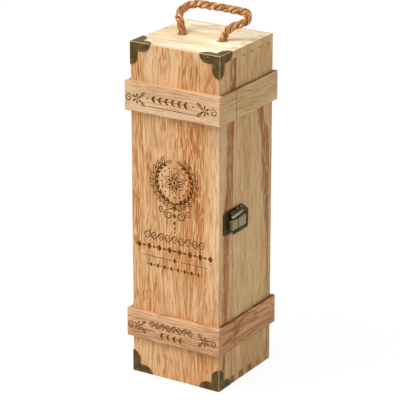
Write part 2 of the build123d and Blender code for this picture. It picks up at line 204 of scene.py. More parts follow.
def away_from(azimuth, elevation):
    """Unit vector from the object to a lamp or camera: azimuth 0 is in front, 90 degrees on the right."""
    level = math.cos(elevation)
    return Vector((math.sin(azimuth) * level, -math.cos(azimuth) * level, math.sin(elevation)))


def hung(name, data, seen_from, place=(0, 0, 0)):
    """A lamp or camera at a place, which looks against the direction seen_from."""
    holder = bpy.data.objects.new(name, data)
    holder.location = place
    holder.rotation_mode = "QUATERNION"
    holder.rotation_quaternion = (-seen_from).to_track_quat("-Z", "Y")
    bpy.context.scene.collection.objects.link(holder)
    return holder


def camera():
    """The photograph's point of view."""
    lens = bpy.data.cameras.new("camera")
    lens.lens = VIEW_LENS
    lens.sensor_width = 36.0
    seen_from = away_from(VIEW_AZIMUTH, VIEW_ELEVATION)
    aim = Vector((VIEW_ASIDE * math.cos(VIEW_AZIMUTH), VIEW_ASIDE * math.sin(VIEW_AZIMUTH), VIEW_HEIGHT))
    bpy.context.scene.camera = hung("camera", lens, seen_from, aim + seen_from * VIEW_DISTANCE)


def lamp(name, azimuth, elevation, strength, spread, colour):
    """A broad lamp so far away that its light is even: spread is its width in degrees."""
    light = bpy.data.lights.new(name, "SUN")
    light.energy = strength
    light.angle = math.radians(spread)
    light.color = colour
    hung(name, light, away_from(math.radians(azimuth), math.radians(elevation)))


def seen_directly(nodes):
    """1 for what the camera sees, straight, in gloss or through glass, and 0 for light on things."""
    path = nodes.add("ShaderNodeLightPath").outputs
    either = nodes.math("MAXIMUM", path["Is Camera Ray"], path["Is Glossy Ray"])
    return nodes.math("MAXIMUM", either, path["Is Transmission Ray"])


def surroundings(level):
    """A white room: it lights the object at this level, and shows as plain white."""
    world = bpy.data.worlds.new("white_room")
    world.use_nodes = True
    bpy.context.scene.world = world
    nodes = Nodes(world.node_tree)
    inputs = {"Value": seen_directly(nodes), "To Min": level, "To Max": 1.0}
    strength = nodes.add("ShaderNodeMapRange", inputs)
    sky = nodes.tree.nodes["Background"]
    sky.inputs["Color"].default_value = (1.0, 1.0, 1.0, 1.0)
    nodes.feed(sky.inputs["Strength"], strength.outputs["Result"])


def floor(albedo, glow, share):
    """A pale sheet under the box. Seen directly it glows white by this share: the shadow stays faint."""
    half = 3.0
    below = -0.0002
    mesh = bpy.data.meshes.new("floor")
    corners = [(-half, -half, below), (half, -half, below), (half, half, below), (-half, half, below)]
    mesh.from_pydata(corners, [], [(0, 1, 2, 3)])
    sheet = bpy.data.objects.new("floor", mesh)
    bpy.context.scene.collection.objects.link(sheet)
    paper = bpy.data.materials.new("floor_paper")
    paper.use_nodes = True
    nodes = Nodes(paper.node_tree)
    nodes.tree.nodes.remove(nodes.tree.nodes["Principled BSDF"])
    matt = nodes.add("ShaderNodeBsdfDiffuse", {"Color": (albedo, albedo, albedo, 1.0)})
    white = nodes.add("ShaderNodeEmission", {"Strength": glow})
    amount = nodes.times(seen_directly(nodes), share)
    both = nodes.add("ShaderNodeMixShader", {"Fac": amount, 1: matt.outputs[0], 2: white.outputs[0]})
    nodes.feed(nodes.tree.nodes["Material Output"].inputs["Surface"], both.outputs[0])
    mesh.materials.append(paper)


# -------------------------------- finishes

# The box's own lines that the finishes follow, in mm from the frame's origin
BOX_HEIGHT = 350
BOX_FRONT = -50.0
SAW_CUT = -25.0
FINGER_START = -45.0            # the front edge of the first finger
FINGER_PITCH = 17.0             # one finger and the gap behind it
FINGER_ROOTS = (340.9, 342.3)   # the shadow along the top board's underside
BLOCK_REFLECTION_SPAN = (53.6, 56.5)      # how far out the painted reflection on the clasp's block faces begins, and is full
HOLLOW_SHADE_FADES = (53.0, 55.0)       # how far out the painted shade round them begins to fade, and is gone
FLAP_FRONT = -35.0              # the front edge of the clasp's flap

# How the coordinates are turned so that the grain runs along the third axis
GRAIN_TURN = {"x": (0, -math.pi / 2, 0), "y": (math.pi / 2, 0, 0), "z": (0, 0, 0)}
GRAIN_AXIS = {"x": (1, 0, 0), "y": (0, 1, 0), "z": (0, 0, 1)}
PITH_LEAN = (0.03, 0.02, 0.0)   # the pith isn't quite along the board: how it is turned, in radians
SWAY = 13.0                     # how far the grain wanders, in mm

# The front panel's warmer and paler places: middle x and z, half width, half height, strength
WARM_ZONES = [
    (-41, 258, 4.0, 20, 0.75), (-31, 206, 3.4, 24, 0.6), (-45, 170, 6.5, 34, 0.8), (-30, 92, 13, 17, 0.5),
    (-14, 262, 5.0, 13, 0.45), (-12, 132, 7.0, 22, 0.45), (23, 236, 9.5, 46, 0.6), (23, 150, 9.0, 56, 0.4),
    (6, 262, 4.0, 18, 0.4), (-47, 92, 4.0, 26, 0.5), (-13, 334, 4.5, 13, 0.9), (-42, 328, 5.0, 16, 0.7),
    (17, 327, 12.0, 20, 0.75), (-12, 18, 14, 9, 0.6), (26, 24, 6.0, 14, 0.5), (42, 318, 3.0, 16, 0.5),
    (-10, 190, 40, 100, 0.2),
]
PALE_ZONES = [
    (46, 200, 8, 120, 0.8), (4, 245, 3.5, 60, 0.5), (-24, 250, 3.5, 40, 0.5), (8, 120, 4, 50, 0.4),
    (-28, 330, 9, 18, 0.5), (24, 92, 22, 24, 0.35), (-18, 70, 6, 40, 0.4), (4, 30, 20, 20, 0.35),
]
STRIP_EDGES = (8.8, 35.2)       # the front panel's redder strip, from side to side at half height
STRIP_LEAN = 0.024              # how far it leans to the left for each mm of height


# A board's own marks, and the shade painted on some boards, are a function that wood() calls. It takes the
# finish, where a point is in mm, the fibres, the colour so far and the board's four tones, and gives back
# the colour with the marks on it and how much stronger the grain is there.

def soft_zones(f, spot, fibre, zones):
    """How much a point lies in any of these soft upright ellipses, each by its middle, half width, half
    height and strength, in mm on the face. The fibres fray their edges."""
    across, along = f.part(spot, "X"), f.part(spot, "Z")
    total = 0.0
    for x, z, half_x, half_z, strength in zones:
        u = f.math("DIVIDE", f.minus(across, x), half_x)
        v = f.math("DIVIDE", f.minus(along, z), half_z)
        away = f.plus(f.times(u, u), f.times(v, v), f.times(f.minus(0.5, fibre), 3.2))
        total = f.plus(total, f.times(f.rise(away, 1.5, 0.2), strength))
    return f.math("MINIMUM", total, 0.9)


def front_zones(f, spot, fibre, colour, tones):
    """The front panel's paler bands, its warmer places, where the fibres are stronger too, and the one
    redder strip that it is glued up with, whose straight edges lean a little."""
    colour = f.coat(colour, tone(236, 201, 160), soft_zones(f, spot, fibre, PALE_ZONES), 0.8)
    warm = soft_zones(f, spot, fibre, WARM_ZONES)
    colour = f.coat(colour, tones[2], warm, 0.75)
    up = f.part(spot, "Z")
    lean = f.times(f.plus(up, -BOX_HEIGHT / 2), STRIP_LEAN)
    leaned = f.plus(f.part(spot, "X"), lean, f.times(fibre, 0.8))
    strip = f.times(f.between(leaned, *STRIP_EDGES, 0.7), f.rise(up, 305, 290))
    colour = f.coat(colour, tones[2], strip, 0.48)
    return colour, f.plus(f.times(warm, 1.3), f.times(strip, 0.4))


# Each streak by its top, its middle measured from the box's front, and its half width at each height
SIDE_STREAKS = [
    (400,
     [(0, 8), (60, 10), (91, 11.4), (104, 12.4), (150, 14.2), (213, 18.5), (277, 20.6), (350, 27.7)],
     [(0, 2.4), (60, 3.4), (91, 4.2), (104, 4.8), (150, 5.6), (213, 5.8), (277, 6.1), (350, 5.4)]),
    (295,
     [(0, 95), (126, 94.5), (151, 92.7), (174, 90.2), (203, 87.7), (224, 88.7), (253, 85.6), (265, 79.6),
      (350, 76)],
     [(0, 2.2), (126, 3.4), (151, 4.0), (174, 4.7), (203, 6.6), (224, 7.0), (253, 7.4), (265, 6.1),
      (350, 5)]),
]


def side_streaks(f, spot, fibre, colour, tones):
    """The right side's two reddish growth streaks, which taper towards the bottom and are sharper at the
    back than in front. Near the top it also has a golden place in front and a thin reddish line behind,
    and it has the glue with painted shadow and the saw cut of both side boards."""
    across, along = f.part(spot, "Y"), f.part(spot, "Z")
    shake = f.noise(spot, (0.0, 0.02, 0.035), detail=3.0)
    wander = f.plus(f.times(f.minus(shake, 0.5), 7.0), f.times(f.minus(fibre, 0.5), 4.0))
    bands = f.noise(spot, (0.0, 0.55, 0.012))
    rich = 0.0
    for top, middle, half in SIDE_STREAKS:
        centre = f.plus(f.graph(along, (0, BOX_HEIGHT), middle), BOX_FRONT)
        off = f.plus(f.minus(across, centre), wander)
        width = f.graph(along, (0, BOX_HEIGHT), half)
        behind = f.rise(f.minus(off, width), 0.8, -0.8)
        before = f.rise(f.plus(off, width), -2.0, 1.6)
        body = f.times(behind, before, f.rise(along, top + 6, top - 8))
        redder = f.blend(f.rise(bands, 0.36, 0.6), tone(182, 114, 62), tone(144, 82, 42))
        colour = f.coat(colour, redder, body, f.plus(0.75, f.times(fibre, 0.5)))
        rich = f.plus(rich, f.times(body, 0.4))
    golden_y, golden_half = 21.0, 10.0
    aside = f.math("DIVIDE", f.minus(across, golden_y), golden_half)
    golden = f.times(f.rise(f.times(aside, aside), 1.2, 0.2), f.between(along, 318, 338, 7), fibre)
    colour = f.coat(colour, tone(196, 142, 78), golden)
    line = f.times(f.between(across, 45.6, 46.8, 0.6), f.rise(along, 314, 320), f.rise(along, 342, 340))
    colour = f.coat(colour, tone(176, 104, 60), line, 0.6)
    return glue_and_shadow_lines(f, spot, fibre, colour, tones)[0], rich


def glue_and_shadow_lines(f, spot, fibre, colour, tones):
    """Dark dashes of glue and shadow at the roots of the top board's fingers, longer and shorter, and the
    rubbed edges of the saw cut between lid and body."""
    across, along = f.part(spot, "Y"), f.part(spot, "Z")
    tooth = f.phase(f.plus(across, -FINGER_START), FINGER_PITCH)
    finger = f.times(f.rise(tooth, 0.52, 0.49), f.rise(tooth, 0.0, 0.03))
    under = f.times(finger, f.between(along, *FINGER_ROOTS, 0.2))
    patchy = f.rise(f.noise(spot, (0.0, 0.16, 0.0)), 0.36, 0.5)
    # glue with painted shadow under the fingers
    colour = f.coat(colour, tone(84, 52, 28), under, f.plus(0.2, f.times(patchy, 0.75)))
    return saw_cut(f, spot, fibre, colour, 0.55), 0.0


def saw_cut(f, spot, fibre, colour, strength):
    """The lid was sawn off the finished box, and the edges of the cut are brown."""
    by = f.math("ABSOLUTE", f.plus(f.part(spot, "Y"), -SAW_CUT))
    return f.coat(colour, tone(112, 64, 30), f.rise(by, 1.1, 0.3), f.plus(0.4, fibre), strength)


def ledge_painted_shade(f, spot, fibre, colour, tones):
    """Painted shade: the side battens' upper edges are darker brown, where the box keeps the light off
    them.
    """
    # painted shade on every surface that faces up
    up = f.rise(f.part(f.facing(), "Z"), 0.7, 0.95)
    colour = f.coat(colour, tone(104, 60, 28), up, f.plus(0.62, f.times(fibre, 0.6)))
    return saw_cut(f, spot, fibre, colour, 0.8), 0.0


def wood(name, along, tones, seed, flame=0.6, lines=0.5, fine=1.0, rings=0.3, ring=3.2, pith=(-30, 90),
         extra=None, ends=None, ends_behind=None):
    """Sawn softwood. Fibres and hairs are noise drawn out along the grain, coarse and fine. Flames are a
    broader, drawn-out noise whose edge the fibres fray. Growth rings are circles round the pith beside the
    board: fraction of (distance from the pith / ring width). The tones are pale, middle, warm and dark,
    and extra is the function for the board's own marks and painted shade. The end grain has the tone ends,
    and in the box's back half ends_behind."""
    f = Finish(name, roughness=0.62, specular=0.22)
    pale, middle, warm, dark = (tone(*c) for c in tones)
    straight = f.place()
    spot = f.mapped(straight, turn=GRAIN_TURN[along])
    seat = f.vector("ADD", spot, seed)
    sway = f.noise(seat, (0.03, 0.03, 0.011), output="Color")
    sway = f.vector("MULTIPLY", f.vector("SUBTRACT", sway, (0.5, 0.5, 0.5)), (SWAY, SWAY, SWAY))
    bent = f.vector("ADD", seat, sway)
    fibre = f.noise(bent, (0.55 * fine, 0.55 * fine, 0.019), detail=4.0, roughness=0.55)
    hair = f.noise(bent, (1.15 * fine, 1.15 * fine, 0.045), detail=1.0)
    broad = f.noise(bent, (0.05, 0.05, 0.007))
    flame_field = f.noise(bent, (0.19, 0.19, 0.016), detail=3.0, roughness=0.55)
    frayed = f.plus(flame_field, f.times(f.plus(fibre, hair, -1.0), 0.3))
    colour = f.blend(f.rise(f.plus(broad, f.times(fibre, 0.4)), 0.5, 0.9), pale, middle)
    colour = f.coat(colour, warm, f.rise(frayed, 0.46, 0.72), flame)
    strength = lines
    if extra:
        colour, rich = extra(f, straight, fibre, colour, (pale, middle, warm, dark))
        strength = f.times(f.plus(rich, 1.0), lines)
    leaned = f.mapped(f.vector("ADD", spot, sway), turn=PITH_LEAN, shift=(*pith, 0.0))
    distance = f.vector("LENGTH", f.vector("MULTIPLY", leaned, (1.0, 1.0, 0.0)), output="Value")
    circle = f.phase(distance, ring)
    late = f.times(f.rise(circle, 0.52, 0.92), f.rise(circle, 1.0, 0.95), f.rise(broad, 0.3, 0.6))
    brown = f.blend(0.5, warm, dark)
    colour = f.coat(colour, brown, late, rings)
    colour = f.coat(colour, warm, f.rise(fibre, 0.52, 0.72), strength, 0.6)
    colour = f.coat(colour, pale, f.rise(fibre, 0.46, 0.28), strength, 0.8)
    colour = f.coat(colour, brown, f.rise(hair, 0.54, 0.68), strength, 0.85)
    colour = f.coat(colour, pale, f.rise(hair, 0.46, 0.34), strength, 0.9)
    square = f.math("ABSOLUTE", f.vector("DOT_PRODUCT", f.facing(), GRAIN_AXIS[along], output="Value"))
    end_circle = f.phase(distance, ring * 0.6)
    end_tone = tone(*(ends or tones[1]))
    if ends_behind:
        end_tone = f.coat(end_tone, tone(*ends_behind), f.rise(f.part(straight, "Y"), 15.0, 24.0))
    end_colour = f.coat(end_tone, warm, f.rise(end_circle, 0.2, 1.0), 0.35)
    colour = f.coat(colour, end_colour, f.rise(square, 0.8, 0.95))
    rough = f.plus(f.times(fibre, 0.25), 0.48)
    height = f.minus(f.times(fibre, 0.7), f.times(f.rise(hair, 0.58, 0.72), 0.4))
    return f.done(colour, height, 0.00012, roughness=rough, normal=f.bevelled(0.0004, samples=4))


def board_woods():
    """One finish for each board of the carcass. A board that the saw cut in two shares one, so that its
    grain runs on across the cut."""
    front_tones = ((236, 195, 146), (210, 158, 101), (188, 113, 46), (136, 76, 28))
    side_tones = ((228, 194, 142), (210, 168, 112), (190, 130, 76), (150, 100, 54))
    top_tones = ((255, 244, 216), (246, 222, 178), (224, 180, 124), (146, 98, 54))
    cream = (236, 212, 172)
    return {
        "right": wood("right_board_wood", "z", side_tones, (40, 90, 300), flame=0.45, lines=0.62,
                      rings=0.15, extra=side_streaks, ends=cream),
        "left": wood("left_board_wood", "z", side_tones, (-210, 40, 77), flame=0.5, lines=0.42,
                     rings=0.25, pith=(60, -20), extra=glue_and_shadow_lines, ends=cream),
        "top": wood("top_board_wood", "x", top_tones, (15, -60, 500), flame=0.4, lines=0.3, fine=0.8,
                    rings=0.7, ring=9.0, pith=(-420, 30), ends=(214, 178, 126)),
        "bottom": wood("bottom_board_wood", "x", side_tones, (95, 160, -350), pith=(90, 10),
                       ends=(156, 100, 54), ends_behind=(196, 152, 100)),
        "back": wood("back_board_wood", "z", side_tones, (33, -15, 910), flame=0.6,
                     rings=0.4, ring=5.0, pith=(10, -110), ends=cream),
        "front": wood("front_board_wood", "z", front_tones, (120, 8, 40), flame=0.6, lines=0.62,
                      rings=0.45, ring=3.4, extra=front_zones, ends=cream),
    }


def batten_woods():
    """The battens' finishes, by level and face: the lower ones are cut from redder wood."""
    tones = {
        ("upper", "front"): ((232, 196, 156), (214, 172, 130), (190, 134, 86), (150, 98, 58)),
        ("upper", "side"): ((224, 194, 142), (208, 172, 120), (184, 136, 82), (158, 110, 62)),
        ("lower", "front"): ((226, 184, 140), (200, 152, 106), (168, 100, 56), (118, 68, 36)),
        ("lower", "side"): ((220, 170, 120), (196, 142, 94), (156, 92, 54), (112, 66, 36)),
    }
    grain = {
        "upper": (11, {"flame": 0.4, "lines": 0.55, "rings": 0.5, "ring": 3.4}),
        "lower": (57, {"flame": 0.6, "lines": 0.65, "rings": 0.8, "ring": 2.6}),
    }
    made = {}
    for level, (seed, look) in grain.items():
        for face, along in (("front", "x"), ("side", "y"), ("back", "x")):
            own = tones[level, "side" if face == "back" else face]
            place = (seed * 9, seed * 3, seed * 31)
            # the side battens get painted shade on their upper edges
            marks = ledge_painted_shade if face == "side" else None
            made[level, face] = wood(f"{level}_{face}_batten_wood", along, own, place,
                                     pith=(40 - seed, 60), extra=marks, **look)
    return made


def mixed(a, b, share):
    """A colour between two, by the share of the second."""
    return tone(*(int(first * (1 - share) + second * share) for first, second in zip(a, b)))


def bronze(name, ground, pale_tone, wear_and_highlight, metallic=0.2, extra=None):
    """Antique bronze: a dark olive-brown patina, a little cloudy. It is rubbed bright, with a painted
    highlight as well, on bends, where the surface faces none of the axes squarely, and along edges, where
    a bevelled normal leaves the face's own. The function extra adds a piece's own marks and painted light:
    it takes the finish, where a point is in mm, the specks and the colour so far, and gives back the
    colour."""
    roughness = 0.45
    f = Finish(name, roughness, specular=0.1, metallic=metallic)
    spot = f.place()
    cloud = f.noise(spot, (0.12, 0.12, 0.12))
    speck = f.noise(spot, (1.4, 1.4, 1.4))
    colour = f.blend(f.rise(cloud, 0.3, 0.7), mixed(ground, (0, 0, 0), 0.14), mixed(ground, pale_tone, 0.15))
    colour = f.coat(colour, mixed(ground, pale_tone, 0.5), f.rise(speck, 0.6, 0.75), 0.2)
    if extra:
        colour = extra(f, spot, speck, colour)
    bevel = f.bevelled(0.0006, samples=6)
    face = f.add("ShaderNodeNewGeometry").outputs["True Normal"]
    same = f.vector("DOT_PRODUCT", bevel, face, output="Value")
    turned = f.vector("ABSOLUTE", f.facing())
    level = f.math("MAXIMUM", f.part(turned, "X"), f.part(turned, "Y"))
    square = f.math("MAXIMUM", level, f.part(turned, "Z"))
    # rubbed bright bends and edges, with a painted highlight on them
    edge = f.math("MAXIMUM", f.times(f.rise(same, 0.99, 0.84), 0.6), f.rise(square, 0.985, 0.88))
    colour = f.coat(colour, tone(*pale_tone), edge, f.plus(0.6, f.times(cloud, 0.6)), wear_and_highlight)
    rough = f.plus(f.times(cloud, 0.2), roughness - 0.1)
    height = f.plus(f.times(speck, 0.6), f.times(cloud, 0.4))
    return f.done(colour, height, 0.00005, roughness=rough, normal=bevel)


def clasp_painted_light(f, spot, speck, colour):
    """On the clasp's plates, what stands out is paler: a painted reflection, olive-grey, on the block
    faces, and painted light, golden, on their front sides. The hollow round them is nearly black with
    painted shade."""
    out = f.rise(f.part(spot, "X"), *BLOCK_REFLECTION_SPAN)
    side = f.rise(f.part(f.facing(), "Y"), -0.6, -0.95)
    hollow = f.add("ShaderNodeAmbientOcclusion", {"Distance": 0.005}, samples=8)
    near = f.rise(f.part(spot, "X"), *reversed(HOLLOW_SHADE_FADES))
    # painted shade in the hollow, from ambient occlusion
    hollow_shade = f.times(f.rise(hollow.outputs["AO"], 0.9, 0.55), near)
    colour = f.coat(colour, tone(22, 16, 8), hollow_shade, 0.95)
    # painted reflection on what stands out, and painted light on its front sides
    colour = f.coat(colour, tone(158, 148, 112), out, f.plus(0.85, f.times(speck, 0.3)))
    return f.coat(colour, tone(138, 110, 54), out, side)


def lip_highlight_and_shade(f, spot, speck, colour):
    """On the clasp's flap, a painted highlight along the lower edge, which climbs and narrows towards the
    back, and painted shade, nearly black, below it."""
    back = f.plus(f.part(spot, "Y"), -FLAP_FRONT)
    level = f.minus(f.plus(f.part(spot, "Z"), -FLAP_LIP), f.times(back, 0.1))
    # painted shade, nearly black, under the lip
    colour = f.coat(colour, tone(30, 22, 10), f.rise(level, 0.5, -0.1))
    # painted highlight along the lip
    lip_highlight = f.times(f.rise(level, 0.1, 0.5), f.rise(f.plus(level, f.times(back, 0.06)), 2.6, 1.8))
    return f.coat(colour, tone(216, 210, 176), lip_highlight, f.plus(0.65, f.times(speck, 0.4)))


def scorch():
    """Burnt lines in the wood: brown, unevenly dark, matt."""
    f = Finish("scorched_wood", roughness=0.85, specular=0.1)
    spot = f.place()
    blotch = f.noise(spot, (0.25, 0.25, 0.12))
    fibre = f.noise(spot, (1.6, 1.6, 0.1))
    colour = f.blend(f.rise(blotch, 0.3, 0.7), tone(90, 50, 12), tone(118, 72, 22))
    colour = f.coat(colour, tone(152, 100, 42), f.rise(fibre, 0.5, 0.75), 0.45)
    return f.done(colour, fibre, 0.00005)


def hemp():
    """Rope yarn: tan fibres drawn out along each yarn, with painted shade where the strands meet in the
    rope's core.
    """
    f = Finish("hemp_yarn", roughness=0.85, specular=0.15)
    lay = f.attribute("yarn_place")
    hair = f.noise(lay, (0.16, 1.5, 1.5), detail=3.0, roughness=0.65)
    tuft = f.noise(lay, (0.16, 0.5, 0.5), shift=(7, 3, 1))
    colour = f.blend(f.rise(hair, 0.36, 0.6), tone(146, 84, 36), tone(200, 140, 82))
    colour = f.coat(colour, tone(252, 212, 160), f.rise(tuft, 0.5, 0.62), 0.8)
    colour = f.coat(colour, tone(96, 50, 16), f.rise(hair, 0.46, 0.34), 0.8)
    depth = f.attribute("core_depth", "Fac")
    # painted shade where the strands meet
    colour = f.coat(colour, tone(66, 34, 12), f.rise(depth, 0.9, 0.66), 0.9)
    return f.done(colour, hair, 0.0004)


# -------------------------------- mesh helpers

def new_piece(name, rows, faces, finish, **per_vertex):
    """A smooth mesh object at the origin. Further arrays become attributes, one row per vertex."""
    mesh = bpy.data.meshes.new(name)
    mesh.from_pydata(rows.tolist(), [], faces)
    mesh.polygons.foreach_set("use_smooth", np.full(len(faces), True))
    for key, values in per_vertex.items():
        kind, field = ("FLOAT_VECTOR", "vector") if values.ndim == 2 else ("FLOAT", "value")
        held = mesh.attributes.new(key, kind, "POINT")
        held.data.foreach_set(field, np.ascontiguousarray(values, np.float32).ravel())
    mesh.materials.append(finish)
    piece = bpy.data.objects.new(name, mesh)
    bpy.context.scene.collection.objects.link(piece)
    return piece


def tube_faces(rings, around, first):
    """Faces of a tube of rings x around vertices, numbered from first, its two ends fanned shut on one
    more vertex each. They point outwards where the rings run anticlockwise seen from the far end."""
    ring, step = np.meshgrid(np.arange(rings - 1), np.arange(around), indexing="ij")
    a = first + ring * around + step
    b = first + ring * around + (step + 1) % around
    sides = np.stack([a, b, b + around, a + around], -1).reshape(-1, 4)
    turn = np.arange(around)
    following = (turn + 1) % around
    near = first + rings * around
    last = first + (rings - 1) * around
    start = np.stack([np.full(around, near), first + following, first + turn], -1)
    end = np.stack([np.full(around, near + 1), last + turn, last + following], -1)
    return sides.tolist() + start.tolist() + end.tolist()


def with_ends(grid):
    """A grid of rings x around values as one list, with the two end vertices' values after it."""
    flat = grid.reshape(-1, grid.shape[-1])
    return np.concatenate([flat, grid[0].mean(0)[None], grid[-1].mean(0)[None]])


def closed_tubes(skins):
    """Vertices and faces of closed tubes, one for each grid of rings x around points."""
    rows, faces, first = [], [], 0
    for skin in skins:
        rows.append(with_ends(skin))
        faces += tube_faces(len(skin), skin.shape[1], first)
        first += len(rows[-1])
    return np.concatenate(rows), faces


def unit(rows):
    return rows / np.linalg.norm(rows, axis=-1, keepdims=True)


def on_circle(middle, radius, turn):
    """Points on a circle, or one: middle + radius * (cosine, sine) of the turn in radians."""
    return np.stack([middle[0] + radius * np.cos(turn), middle[1] + radius * np.sin(turn)], -1)


def along_line(points, step):
    """Evenly spaced points along a polyline, and their distance from its start."""
    run = np.concatenate([[0.0], np.cumsum(np.linalg.norm(np.diff(points, axis=0), axis=1))])
    reach = np.linspace(0.0, run[-1], max(8, int(run[-1] / step)))
    return np.stack([np.interp(reach, run, points[:, k]) for k in range(3)], -1), reach


# -------------------------------- rope

ROPE_DIAMETER = 0.0075
ROPE_LAY = 0.027            # length of one full turn of a strand
YARN_LAY = 0.030            # and of a yarn within it
STRAND_SHARE = 0.53         # a strand's radius over the rope's
YARNS = 9                   # in each strand
SWELLS = (0.010, 0.016)     # how far from its ends the rope starts to swell, and has swollen
KNOT_ROPE = 0.0050          # the rope's thickness where it is drawn tight in a knot
KNOT_LAY = 0.018
KNOT_TAIL = 0.005           # what sticks out below a knot
KNOT_TURNS = 2.3
# The handle's route, up out of the left hole, back and over in one flat arch, round a tight fold beyond
# the right hole and down into it. The same points as the part's own rope.
ROPE_ROUTE = [
    (-0.023, 0.0, 0.342), (-0.023, 0.0, 0.3526), (-0.0282, 0.004, 0.3612), (-0.0338, 0.0094, 0.3672),
    (-0.0284, 0.0156, 0.3746), (-0.0165, 0.0188, 0.3776), (-0.001, 0.0192, 0.3768),
    (0.014, 0.0188, 0.3774), (0.028, 0.019, 0.3766), (0.0399, 0.0184, 0.3767), (0.0441, 0.015, 0.3731),
    (0.0429, 0.0106, 0.3684), (0.0332, 0.0076, 0.365), (0.0274, 0.0044, 0.3612), (0.023, 0.0, 0.3524),
    (0.023, 0.0, 0.342),
]


def nurbs_line(points):
    """Points along one smooth NURBS curve with the given points as its control points."""
    curve = bpy.data.curves.new("route", "CURVE")
    curve.dimensions = "3D"
    curve.resolution_u = 24
    spline = curve.splines.new("NURBS")
    spline.points.add(len(points) - 1)
    spline.points.foreach_set("co", np.concatenate([points, np.ones((len(points), 1))], 1).ravel())
    spline.order_u = 3
    spline.use_endpoint_u = True
    holder = bpy.data.objects.new("route", curve)
    mesh = bpy.data.meshes.new_from_object(holder)
    line = np.zeros(len(mesh.vertices) * 3)
    mesh.vertices.foreach_get("co", line)
    bpy.data.objects.remove(holder)
    bpy.data.curves.remove(curve)
    bpy.data.meshes.remove(mesh)
    return line.reshape(-1, 3)


def laid_strands(line, diameter, lay, leaning, around=36, seed=5, plump=0.0):
    """Three strands laid round a line. Side is square to the line and to leaning, and up to both of them.
    Strand k's middle is line + (rope's radius - strand's radius) * (cos turn * side + sin turn * up), with
    turn = 120 degrees * k - 360 degrees * distance / lay. Its section is a circle with one shallow lobe
    per yarn, and its yarns turn the other way. Away from its ends the rope is thicker by the share plump.
    Gives for each strand its skin, each point's place along its yarn in mm, and its distance from the
    rope's core as a share of the radius."""
    middle, reach = along_line(line, 0.0006)
    forward = unit(np.gradient(middle, axis=0))
    side = unit(np.cross(forward, leaning))
    up = np.cross(forward, side)
    free = np.minimum(reach, reach[-1] - reach)
    radius = diameter / 2 * (1 + plump * np.interp(free, SWELLS, (0, 1)))[:, None]
    strand = radius * STRAND_SHARE
    chance = np.random.default_rng(seed)
    theta = np.linspace(0, 2 * math.pi, around, endpoint=False)
    laid = []
    for k in range(3):
        turn = 2 * math.pi * (k / 3 - reach / lay)
        uneven = np.interp(reach, np.linspace(0, reach[-1], 24), chance.normal(0, 0.035, 24))
        out = np.cos(turn)[:, None] * side + np.sin(turn)[:, None] * up
        centre = middle + out * (radius - strand)
        ahead = unit(np.gradient(centre, axis=0))
        out = unit(out - ahead * np.sum(out * ahead, -1, keepdims=True))
        across = np.cross(ahead, out)
        yarn = theta[None, :] + 2 * math.pi * reach[:, None] / YARN_LAY
        swell = strand * (1 + uneven[:, None]) * (1 + 0.05 * np.abs(np.sin(YARNS * yarn / 2)))
        circle = np.cos(theta)[:, None] * out[:, None] + np.sin(theta)[:, None] * across[:, None]
        skin = centre[:, None] + swell[..., None] * circle
        place = np.stack([np.broadcast_to(reach[:, None] / MM, yarn.shape) + 90 * k,
                          np.cos(yarn) * strand / MM, np.sin(yarn) * strand / MM], -1)
        depth = np.linalg.norm(skin - middle[:, None], axis=-1, keepdims=True) / radius[..., None]
        laid.append((skin, place, depth))
    return laid


def rope_piece(name, strands, finish):
    """One mesh out of laid strands, riding on the box."""
    rows, faces = closed_tubes([skin for skin, _, _ in strands])
    places = np.concatenate([with_ends(place) for _, place, _ in strands])
    depths = np.concatenate([with_ends(depth) for _, _, depth in strands])[:, 0]
    piece = new_piece(name, rows, faces, finish, yarn_place=places, core_depth=depths)
    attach(piece, "box")
    return piece


def rope_handle(finish):
    """The handle's strands, its stray fibres and the two stopper knots under the top board."""
    line = nurbs_line(np.array(ROPE_ROUTE))
    leaning = unit(np.array([[0.0, 0.83, -0.56]]))
    laid = laid_strands(line, ROPE_DIAMETER, ROPE_LAY, leaning, plump=0.1)
    strands = rope_piece("rope_strands", laid, finish)
    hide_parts("rope_handle")
    knots = [stopper_knot(side, finish) for side in ("left", "right")]
    stray_fibres(line, finish)


def stopper_knot(side, finish):
    """A drawn-up barrel knot: the rope goes straight down through its middle, and its wraps climb round
    that as a helix, radius * (cosine, sine) of the turn, whose ends tuck in."""
    node = f"rope_knot_{side}"
    low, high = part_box(node)
    x, y = (low.x + high.x) / 2, (low.y + high.y) / 2
    wrap_radius = (high.x - low.x) / 2 - KNOT_ROPE / 2
    barrel_top = high.z - KNOT_ROPE / 2
    barrel_bottom = low.z + KNOT_TAIL + KNOT_ROPE / 2
    t = np.linspace(0, 1, 120)
    turn = 2 * math.pi * KNOT_TURNS * t
    reach = wrap_radius * np.clip(np.minimum(t, 1 - t) / 0.10, 0.35, 1.0)
    climb = barrel_bottom + (barrel_top - barrel_bottom) * t
    wrap = np.column_stack([on_circle((x, y), reach, turn), climb])
    core = np.linspace((x, y, high.z), (x, y, low.z), 40)
    strands = laid_strands(core, KNOT_ROPE, KNOT_LAY, np.array([[1.0, 0.0, 0.0]]), around=24)
    strands += laid_strands(wrap, KNOT_ROPE, KNOT_LAY, np.array([[0.0, 0.0, 1.0]]), around=24, seed=8)
    knot = rope_piece(f"{node}_wraps", strands, finish)
    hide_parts(node)
    return knot


